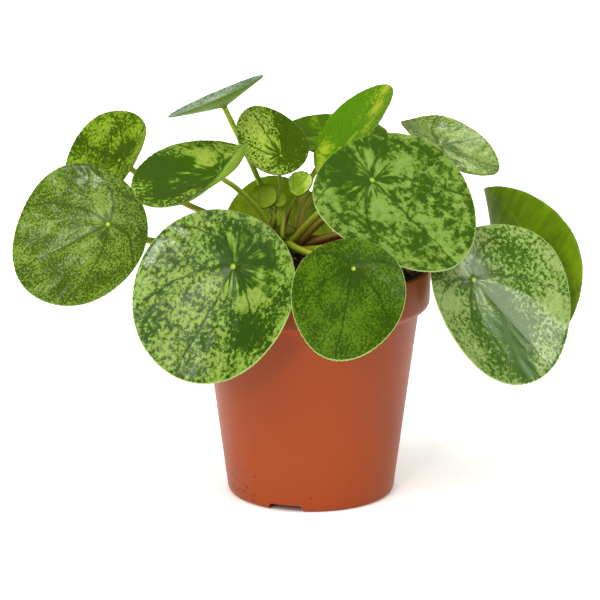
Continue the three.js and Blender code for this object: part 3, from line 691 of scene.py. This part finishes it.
def make_leaf(leaf, seed, edge, under):
    """A blade: top face, rounded margin and underside, in one closed mesh. edge and under are the materials
    of the last two."""
    young = leaf["long"] < YOUNG_LONG
    sides = LEAF_SIDES // 3 if young else LEAF_SIDES
    rings = LEAF_RINGS // 2 if young else LEAF_RINGS
    shares = np.linspace(0, 1 - EDGE_ROUNDING / (leaf["long"] / 2), rings + 1)[1:]
    angle = np.arange(sides) * math.tau / sides
    along, across, out = (np.array(axis) for axis in blade_frame(leaf))

    def surface(share, turn):
        x, y, z = blade_form(leaf, share * blade_reach(leaf, share, turn, seed), turn)
        return np.stack([x, y, z + blade_relief(leaf, share, turn, seed)], -1)

    # Rows of points run from the hub out over the top, round the margin and back under the blade.
    layers = [(s, 0.0) for s in shares] + list(MARGIN_ROWS) + [(s, 1.0) for s in shares[::-1]]
    rows, flat, part = [], [], []
    for share, depth in layers:
        full = np.full(sides, share)
        middle = surface(full, angle)
        normal = np.cross(surface(full + NORMAL_STEP, angle) - surface(full - NORMAL_STEP, angle),
                          surface(full, angle + NORMAL_STEP) - surface(full, angle - NORMAL_STEP))
        normal /= np.linalg.norm(normal, axis=1)[:, None]
        rows.append(middle - normal * depth * BLADE_THICK)
        flat.append(np.stack([middle[:, 0], middle[:, 1], np.zeros(sides)], -1))
        part.append(full)
    centre = surface(np.array([0.0]), np.array([0.0]))[0]
    own = np.concatenate([[centre], *rows, [centre - [0, 0, BLADE_THICK]]])
    flat = np.concatenate([[[0, 0, 0]], *flat, [[0, 0, 0]]])
    part = np.concatenate([[0], *part, [0]])
    points = np.array(leaf["hub"]) + own[:, :1] * along + own[:, 1:2] * across + own[:, 2:] * out

    # Each face's look is 0 for the top, 1 for the margin or 2 for the underside.
    faces, looks = [], []
    last = len(layers) - 1
    for i in range(sides):
        j = (i + 1) % sides
        faces.append((0, 1 + i, 1 + j))
        looks.append(0)
        for row in range(last):
            a, b = 1 + row * sides, 1 + (row + 1) * sides
            faces.append((a + i, b + i, b + j, a + j))
            looks.append(0 if row < rings - 1 else 1 if row <= rings + 1 else 2)
        faces.append((1 + last * sides + i, len(points) - 1, 1 + last * sides + j))
        looks.append(2)

    patch = np.zeros(len(points))
    for x, y, radius, gain in leaf["patches"]:
        away = np.hypot(flat[:, 0] - x, flat[:, 1] - y) / radius
        patch += gain * np.exp(-away ** 2)
    blade = piece("blade_" + leaf["name"], points, faces, [leaf_top(leaf, seed), edge, under], looks,
                  {"blade": flat * MM, "share": part, "patch": patch})
    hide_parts("leaf_" + leaf["name"])


def stalk_points(leaf, sunk):
    """The points that a stalk passes, from the stem to the blade. Its end lies so far under the hub."""
    _, _, out = blade_frame(leaf)
    angle, height = leaf["start"]
    axis = Vector((STEM_X, STEM_Y, height))
    hub = Vector(leaf["hub"])
    start = axis + direction(angle) * (STEM_RADIUS - STALK_SINK)
    clear = axis + direction(angle) * (STEM_RADIUS + STALK_CLIMB) + Vector((0, 0, STALK_CLIMB))
    straight = hub - out * (BLADE_THICK + GAP + STALK_STRAIGHT)
    return [start, clear, *(Vector(point) for point in leaf["via"]), straight, hub - out * sunk]


def smooth_route(points, steps):
    """A Catmull-Rom curve through the points, at even steps along its length."""
    knots = [2 * points[0] - points[1], *points, 2 * points[-1] - points[-2]]
    dense = []
    for p0, p1, p2, p3 in zip(knots, knots[1:], knots[2:], knots[3:]):
        m1, m2 = (p2 - p0) / 2, (p3 - p1) / 2
        square = 3 * (p2 - p1) - 2 * m1 - m2
        cube = 2 * (p1 - p2) + m1 + m2
        for k in range(CURVE_STEPS):
            t = k / CURVE_STEPS
            dense.append(p1 + m1 * t + square * t ** 2 + cube * t ** 3)
    dense = np.array([*dense, points[-1]], float)
    length = np.concatenate([[0], np.cumsum(np.linalg.norm(np.diff(dense, axis=0), axis=1))])
    even = np.linspace(0, length[-1], steps + 1)
    return np.stack([np.interp(even, length, dense[:, k]) for k in range(3)], -1), even


def make_stalk(leaf, skin, blush_and_shade):
    """A stalk: a bent rod, swollen where it leaves the stem and flared into the underside of its blade."""
    _, _, out = blade_frame(leaf)
    ceiling = hub_hollow(leaf) + 0.6 * BLADE_THICK
    route, run = smooth_route(stalk_points(leaf, ceiling), STALK_STEPS)
    foot, tip = leaf["thick"]
    share = run / run[-1]
    radius = foot + (tip - foot) * share
    radius = radius + 0.25 * tip * np.clip(1 - (run[-1] - run) / (1.5 * tip), 0, 1) ** 2
    radius = radius + 0.16 * foot * np.exp(-((run / (2.2 * foot)) ** 2))
    radius[0] = foot * 0.9
    tangent = np.gradient(route, axis=0)
    tangent /= np.linalg.norm(tangent, axis=1)[:, None]
    side = np.cross(tangent[0], [0.3, 0.2, 1.0])
    points, reach = [], []
    for k in range(len(route)):
        side = side - tangent[k] * np.dot(side, tangent[k])
        side /= np.linalg.norm(side)
        other = np.cross(tangent[k], side)
        for i in range(STALK_SIDES):
            turn = i * math.tau / STALK_SIDES
            uneven = 0.03 * math.sin(3 * turn + run[k] * 0.07) + 0.015 * math.sin(run[k] * 0.9)
            wide = radius[k] * (1 + uneven)
            point = route[k] + wide * (math.cos(turn) * side + math.sin(turn) * other)
            above = np.dot(point - leaf["hub"], out) + ceiling
            points.append(point - np.array(out) * max(above, 0))
            reach.append(share[k])
    points += [route[0], route[-1]]
    reach += [0, 1]
    faces = []
    for k in range(len(route) - 1):
        a, b = k * STALK_SIDES, (k + 1) * STALK_SIDES
        for i in range(STALK_SIDES):
            j = (i + 1) % STALK_SIDES
            faces.append((a + i, a + j, b + j, b + i))
    end = (len(route) - 1) * STALK_SIDES
    for i in range(STALK_SIDES):
        j = (i + 1) % STALK_SIDES
        faces.append((len(points) - 2, j, i))
        faces.append((len(points) - 1, end + i, end + j))
    # The blush is the stalk's red-brown tint. It is partly painted shade on the stalks under front_right's
    # blade.
    values = {"reach": reach, "blush_and_shade": blush_and_shade * (1 - np.array(reach) * 0.7)}
    stalk = piece("petiole_" + leaf["name"], points, faces, [skin], None, values)
    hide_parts("stalk_" + leaf["name"])


def lathe(profile, sides, centre=(0, 0)):
    """Points and faces of a profile turned round an upright axis. It starts and ends on the axis."""
    points = [(centre[0], centre[1], profile[0][1])]
    for radius, height in profile[1:-1]:
        for i in range(sides):
            a = i * math.tau / sides
            points.append((centre[0] + radius * math.sin(a), centre[1] - radius * math.cos(a), height))
    points.append((centre[0], centre[1], profile[-1][1]))
    rows = len(profile) - 2
    faces = []
    for i in range(sides):
        j = (i + 1) % sides
        faces.append((0, 1 + j, 1 + i))
        for row in range(rows - 1):
            a, b = 1 + row * sides, 1 + (row + 1) * sides
            faces.append((a + i, a + j, b + j, b + i))
        faces.append((1 + (rows - 1) * sides + i, 1 + (rows - 1) * sides + j, len(points) - 1))
    return points, faces


def rounded(profile, size, steps=3):
    """The profile with each corner cut to a small arc. size is the most that a corner gives up."""
    result = [profile[0]]
    for before, corner, after in zip(profile, profile[1:], profile[2:]):
        before, corner, after = Vector(before), Vector(corner), Vector(after)
        reach = min(size, (before - corner).length * 0.4, (after - corner).length * 0.4)
        start = corner + (before - corner).normalized() * reach
        end = corner + (after - corner).normalized() * reach
        for k in range(steps + 1):
            t = k / steps
            result.append(tuple(start * (1 - t) ** 2 + corner * 2 * t * (1 - t) + end * t ** 2))
    return [*result, profile[-1]]


def inside_profile(clear):
    """Inside of the pot, from the floor up to the rim, or what stands so far clear of it."""
    return [(FOOT_RADIUS - WALL - clear, FLOOR_TOP + clear),
            (SHOULDER_RADIUS - WALL - clear, BAND_FOOT - 0.5 + clear),
            (RIM_RADIUS - BAND_TAPER - WALL - clear, BAND_FOOT + 2.5 + clear)]


def cut(body, cutters):
    """Cuts each cutter out of the body with an exact boolean, and removes the cutters."""
    for cutter in cutters:
        change = body.modifiers.new("cut", "BOOLEAN")
        change.operation = "DIFFERENCE"
        change.object = cutter
        change.solver = "EXACT"
        bpy.context.view_layer.objects.active = body
        bpy.ops.object.modifier_apply(modifier=change.name)
        bpy.data.objects.remove(cutter)


def notch_cutter(angle):
    """A slot with rounded upper corners, through the foot ring."""
    half = NOTCH_WIDTH / 2
    outline = [(-half, -2), (half, -2)]
    for side, start in ((1, 0), (-1, 90)):
        for k in range(6):
            a = math.radians(start + k * 18)
            x = side * (half - NOTCH_CORNER) + NOTCH_CORNER * math.cos(a)
            outline.append((x, NOTCH_HEIGHT - NOTCH_CORNER + NOTCH_CORNER * math.sin(a)))
    near, far = -FOOT_RADIUS - 2, -FOOT_RADIUS + FOOT_WIDTH + 6
    turn = Matrix.Rotation(math.radians(angle), 3, "Z")
    points = [turn @ Vector((x, y, z)) for y in (near, far) for x, z in outline]
    n = len(outline)
    faces = [tuple(range(n)), tuple(range(2 * n - 1, n - 1, -1))]
    faces += [((i + 1) % n, i, n + i, n + (i + 1) % n) for i in range(n)]
    return plain_mesh("notch_cutter", points, faces)


def drain_cutter(angle):
    """A round drill through the raised floor."""
    a = math.radians(angle)
    centre = (DRAIN_RING_RADIUS * math.sin(a), -DRAIN_RING_RADIUS * math.cos(a))
    low, high = FLOOR_RISE - 1, FLOOR_TOP + 1
    profile = [(0, low), (DRAIN_RADIUS, low), (DRAIN_RADIUS, high), (0, high)]
    return plain_mesh("drain_cutter", *lathe(profile, DRAIN_SIDES, centre))


def make_pot(plastic):
    """The pot: the source's profile with its corners rounded as a mould leaves them."""
    band_radius = RIM_RADIUS - BAND_TAPER
    profile = [(0, 0), (CENTRE_PAD_RADIUS, 0), (CENTRE_PAD_RADIUS + 0.8, FLOOR_RISE),
               (FOOT_RADIUS - FOOT_WIDTH - 2.4, FLOOR_RISE), (FOOT_RADIUS - FOOT_WIDTH - 1.6, 0),
               (FOOT_RADIUS - 2.2, 0), (FOOT_RADIUS - 0.8, 0.6), (FOOT_RADIUS, 2.2),
               (SHOULDER_RADIUS, BAND_FOOT - 0.8), (SHOULDER_RADIUS + 0.8, BAND_FOOT + 0.2),
               (band_radius - 3, BAND_FOOT + 0.7), (band_radius - 1, BAND_FOOT + 1.5),
               (band_radius, BAND_FOOT + 3.4), (RIM_RADIUS, POT_HEIGHT - 0.8),
               (RIM_RADIUS - 0.3, POT_HEIGHT), (RIM_RADIUS - WALL + 0.3, POT_HEIGHT),
               (RIM_RADIUS - WALL, POT_HEIGHT - 0.6), *reversed(inside_profile(0)), (0, FLOOR_TOP)]
    points, faces = lathe(rounded(profile, POT_ROUNDING), POT_SIDES)
    pot = piece("nursery_pot", points, faces, [plastic])
    cut(pot, [notch_cutter(angle) for angle in NOTCH_ANGLES])
    cut(pot, [drain_cutter(DRAIN_START + i * 360 / DRAIN_COUNT) for i in range(DRAIN_COUNT)])
    pot.data.polygons.foreach_set("use_smooth", np.ones(len(pot.data.polygons), bool))
    pot.data.set_sharp_from_angle(angle=math.radians(SHARP_ANGLE))
    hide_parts("pot")


def soil_relief(x, y):
    """The source's lumps, with finer crumbs on top."""
    broad = math.sin(x * 0.21 + 1.3) * math.cos(y * 0.17 - 0.4)
    middle = math.sin(x * 0.53 - y * 0.31 + 2.1) * math.cos(y * 0.61 + x * 0.19)
    small = math.sin(x * 1.13 + y * 0.7) * math.sin(y * 1.31 - x * 0.47 + 0.8)
    crumb = math.sin(x * 2.3 + 1.1 * math.sin(y * 1.7)) * math.sin(y * 2.6 - 0.9 * math.sin(x * 2.1))
    return SOIL_LUMP * (0.5 * broad + 0.6 * middle + 0.5 * small + 0.25 * crumb)


def make_soil(look):
    """Soil that fills the pot, with a lumpy top."""
    edge = RIM_RADIUS - WALL - GAP - 0.6
    rings = np.arange(edge - SOIL_STEP, 1, -SOIL_STEP)
    profile = [(0, FLOOR_TOP + GAP), *inside_profile(GAP), (edge, SOIL_LEVEL),
               *((radius, SOIL_LEVEL) for radius in rings), (0, SOIL_LEVEL)]
    points, faces = lathe(profile, SOIL_SIDES)
    lifted = []
    for x, y, z in points:
        if z > SOIL_LEVEL - 0.01 and math.hypot(x, y) < edge - 0.01:
            z += soil_relief(x, y)
        lifted.append((x, y, z))
    soil = piece("peat_soil", lifted, faces, [look])
    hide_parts("soil")


def make_chips(look):
    """Bark chips and crumbs that lie half sunk in the soil, each an uneven flat block."""
    draw = random.Random(CHIP_SEED)
    n = len(CHIP_CORNERS)
    points, faces, tones = [], [], []
    for k in range(CHIPS):
        angle = draw.uniform(0, math.tau)
        radius = (RIM_RADIUS - 6) * math.sqrt(draw.random())
        x, y = radius * math.sin(angle), -radius * math.cos(angle)
        if math.hypot(x - STEM_X, y - STEM_Y) < STEM_RADIUS + 3:
            continue
        size = draw.uniform(1.3, 3.2) if k < LARGE_CHIPS else draw.uniform(0.6, 1.3)
        half = Vector((size, size * draw.uniform(0.4, 0.9), size * draw.uniform(0.2, 0.45)))
        turn = Matrix.Rotation(draw.uniform(0, math.tau), 3, "Z")
        turn = turn @ Matrix.Rotation(draw.uniform(-0.5, 0.5), 3, "X")
        middle = Vector((x, y, SOIL_LEVEL + soil_relief(x, y) + half.z * draw.uniform(-0.1, 0.6)))
        first = len(points)
        for layer in (-1, 1):
            for cx, cy in CHIP_CORNERS:
                shrink = draw.uniform(0.75, 1.0)
                depth = layer * half.z * draw.uniform(0.6, 1)
                points.append(middle + turn @ Vector((cx * half.x * shrink, cy * half.y * shrink, depth)))
        faces.append(tuple(first + i for i in reversed(range(n))))
        faces.append(tuple(first + n + i for i in range(n)))
        for i in range(n):
            j = (i + 1) % n
            faces.append((first + i, first + j, first + n + j, first + n + i))
        tones += [draw.random() ** 1.3] * (2 * n)
    chips = piece("bark_chips", points, faces, [look], None, {"tone": tones}, False)


def make_stem(look):
    """The short stem, with rings where old leaves have dropped and a rounded growing top."""
    profile = [(0, STEM_FOOT), (STEM_RADIUS - 1.5, STEM_FOOT)]
    for height in np.arange(STEM_FOOT + 1, STEM_TOP - STEM_CAP, 0.5):
        rings = 0.35 * math.sin(height * 1.1) + 0.12 * math.sin(height * 4.1)
        profile.append((STEM_RADIUS + rings, height))
    for k in range(1, 8):
        a = k * math.pi / 16
        profile.append((STEM_RADIUS * math.cos(a), STEM_TOP - STEM_CAP + STEM_CAP * math.sin(a)))
    profile.append((0, STEM_TOP))
    points, faces = lathe(profile, STEM_SIDES, (STEM_X, STEM_Y))
    stem = piece("woody_stem", points, faces, [look])
    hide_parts("stem")


def make_floor(look):
    """A wide flat sheet at the height that the pot stands on."""
    corners = [(x * FLOOR_HALF, y * FLOOR_HALF, 0) for x, y in ((-1, -1), (1, -1), (1, 1), (-1, 1))]
    floor = plain_mesh("floor", corners, [(0, 1, 2, 3)])
    floor.data.materials.append(look)


def make_light(name, turn, rise, spread, power, glossy):
    """One of the lights, as a sun."""
    light = bpy.data.lights.new(name, "SUN")
    light.angle = math.radians(spread)
    light.energy = power
    source = bpy.data.objects.new(name, light)
    source.visible_glossy = glossy
    source.rotation_euler = direction(turn, rise).to_track_quat("Z", "Y").to_euler()
    bpy.context.scene.collection.objects.link(source)


def make_studio():
    """World, lights, floor and camera."""
    scene = bpy.context.scene
    scene.view_settings.view_transform = "Standard"
    scene.view_settings.gamma = DISPLAY_GAMMA
    world = bpy.data.worlds.new("studio")
    world.use_nodes = True
    world.node_tree.nodes["Background"].inputs["Color"].default_value = (1, 1, 1, 1)
    world.node_tree.nodes["Background"].inputs["Strength"].default_value = WORLD_LIGHT
    scene.world = world
    for light in LIGHTS:
        make_light(**light)
    make_floor(studio_floor())
    lens = bpy.data.cameras.new("camera")
    lens.lens = CAMERA_LENS
    camera = bpy.data.objects.new("camera", lens)
    toward = direction(0, CAMERA_DOWN)
    camera.location = CAMERA_AIM + toward * CAMERA_AWAY
    camera.rotation_euler = (-toward).to_track_quat("-Z", "Y").to_euler()
    scene.collection.objects.link(camera)
    scene.camera = camera


make_studio()
make_pot(moulded_plastic())
make_soil(peat())
make_chips(bark_chip())
make_stem(stem_bark())
# The pale rim is partly a painted highlight on the lit leaves in front.
pale_edge_and_highlight = leaf_edge("pale", "#7f9a48", "#a9bf74")
green_edge = leaf_edge("green", "#4c6420", "#7c9440")
stalk_look = stalk_skin()
common_look = leaf_underside("common", *COMMON_UNDERSIDE)
for seed, leaf in enumerate(LEAVES, 1):
    name = leaf["name"]
    under_look = leaf_underside(name, *UNDERSIDES[name]) if name in UNDERSIDES else common_look
    make_leaf(leaf, seed, pale_edge_and_highlight if name in LIT_PALE_EDGED else green_edge, under_look)
    make_stalk(leaf, stalk_look, BLUSHES_AND_SHADE.get(name, COMMON_BLUSH))
